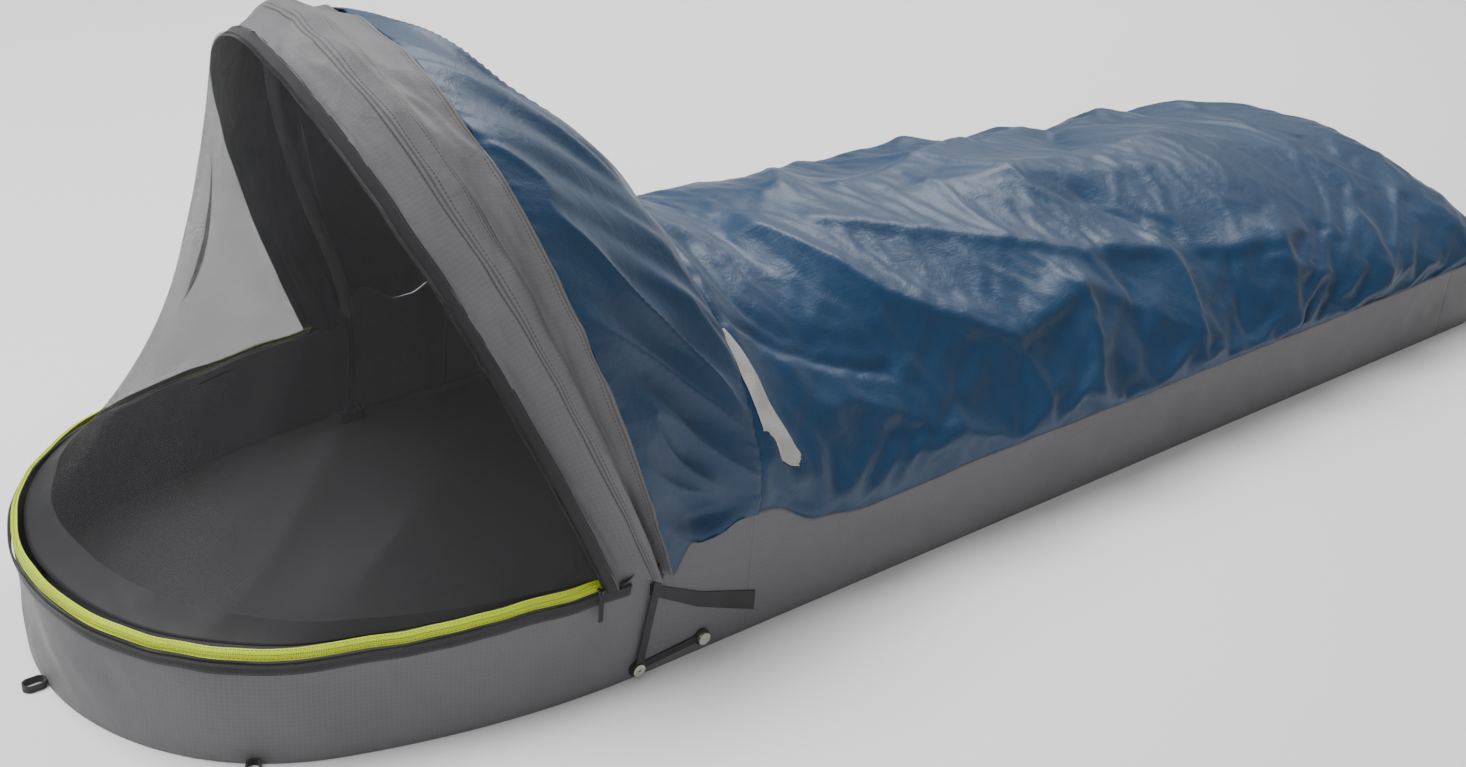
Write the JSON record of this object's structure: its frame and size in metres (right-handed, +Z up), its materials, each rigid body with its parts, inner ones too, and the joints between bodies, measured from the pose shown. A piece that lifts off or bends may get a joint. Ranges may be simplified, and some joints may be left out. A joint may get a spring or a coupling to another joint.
{
  "type": "bivy sack",
  "caption": "One-person bivy sack: bathtub floor, domed waterproof canopy and a hooped hood with an insect-mesh front.",
  "frame": {"origin": "on the ground, midway between the two front hood snaps, about which the hood rocks", "axes": "+X towards the foot, +Y to the sleeper's left, +Z up"},
  "size_m": [2.1597, 0.6758, 0.6921],
  "materials": {
    "tub_cloth": "coated grey ripstop, matt",
    "canopy_cloth": "waterproof blue ripstop, soft sheen",
    "seam_tape": "translucent heat-bonded tape",
    "reflective": "light grey reflective cloth",
    "black_tape": "woven polyester zip tape",
    "webbing": "woven nylon webbing",
    "zip_coil": "nylon coil",
    "lime_coil": "nylon coil",
    "lime_tape": "woven polyester zip tape",
    "slider_metal": "black enamelled zinc",
    "pull_cord": "braided cord",
    "insect_mesh": "fine polyester netting",
    "pole": "fibre-reinforced tube",
    "ferrule": "drawn tube",
    "pole_tip": "moulded acetal",
    "shock_cord": "braided elastic cord",
    "snap_metal": "nickel-plated brass"
  },
  "bodies": {
    "sack": {"body_canopy": "canopy_cloth", "canopy_seam_tape_left": "seam_tape", "canopy_seam_tape_right": "seam_tape", "corner_panel_left": "tub_cloth", "corner_panel_right": "tub_cloth", "corner_strap_left": "webbing", "corner_strap_right": "webbing", "floor_panel": "tub_cloth", "floor_seam_tape": "seam_tape", "foot_band": "tub_cloth", "foot_cap": "canopy_cloth", "front_snap_studs": "snap_metal", "head_wall": "tub_cloth", "hood_gusset": "canopy_cloth", "mesh_screen": "insect_mesh", "mesh_zip_coil": "lime_coil", "mesh_zip_tape": "lime_tape", "pole_pocket_left": "webbing", "pole_pocket_right": "webbing", "rear_snaps": "snap_metal", "reflective_patch_left": "reflective", "reflective_patch_right": "reflective", "rim_storm_coil": "zip_coil", "rim_storm_tape": "black_tape", "side_band_left": "tub_cloth", "side_band_right": "tub_cloth", "snap_strip_left": "webbing", "snap_strip_right": "webbing", "stake_loop_foot_left": "webbing", "stake_loop_foot_right": "webbing", "stake_loop_head": "webbing", "stake_loop_head_left": "webbing", "stake_loop_head_right": "webbing"},
    "hood": {"hood_facing": "tub_cloth", "hood_zip_tape": "black_tape", "hood_zip_coil": "zip_coil", "hood_crown": "canopy_cloth", "pole_sleeve": "tub_cloth", "pole_centre": "pole", "pole_section_right": "pole", "pole_section_left": "pole", "pole_ferrules": "ferrule", "pole_tips": "pole_tip", "pole_shock_cord": "shock_cord", "snap_sockets": "snap_metal", "tie_strap_right": "webbing", "tie_strap_left": "webbing"},
    "mesh_slider": {"mesh_slider": "slider_metal"},
    "mesh_pull": {"mesh_pull": "pull_cord"},
    "storm_slider": {"storm_slider": "slider_metal"},
    "storm_pull": {"storm_pull": "pull_cord"}
  },
  "joints": [
    {"name": "hood_rock", "type": "hinge", "parent": "sack", "child": "hood", "pos_m": [0, 0, 0.012], "axis": [0, -1, 0], "range_deg": [-6, 8], "deforming": ["mesh_screen", "hood_gusset"]},
    {"name": "mesh_slider_travel", "type": "hinge", "parent": "sack", "child": "mesh_slider", "pos_m": [0, 0.70281, 0.13], "axis": [0, 0, -1], "range_deg": [0, 15]},
    {"name": "mesh_pull_swing", "type": "hinge", "parent": "mesh_slider", "child": "mesh_pull", "pos_m": [-0.05403, -0.32809, 0.1354], "axis": [-0.9986, 0.0523, 0], "range_deg": [0, 100]},
    {"name": "storm_slider_travel", "type": "hinge", "parent": "sack", "child": "storm_slider", "pos_m": [0, -0.70281, 0.13], "axis": [0, 0, 1], "range_deg": [0, 15]},
    {"name": "storm_pull_swing", "type": "hinge", "parent": "storm_slider", "child": "storm_pull", "pos_m": [-0.02889, 0.3315, 0.1268], "axis": [0.9996, 0.0279, 0], "range_deg": [0, 100]}
  ]
}
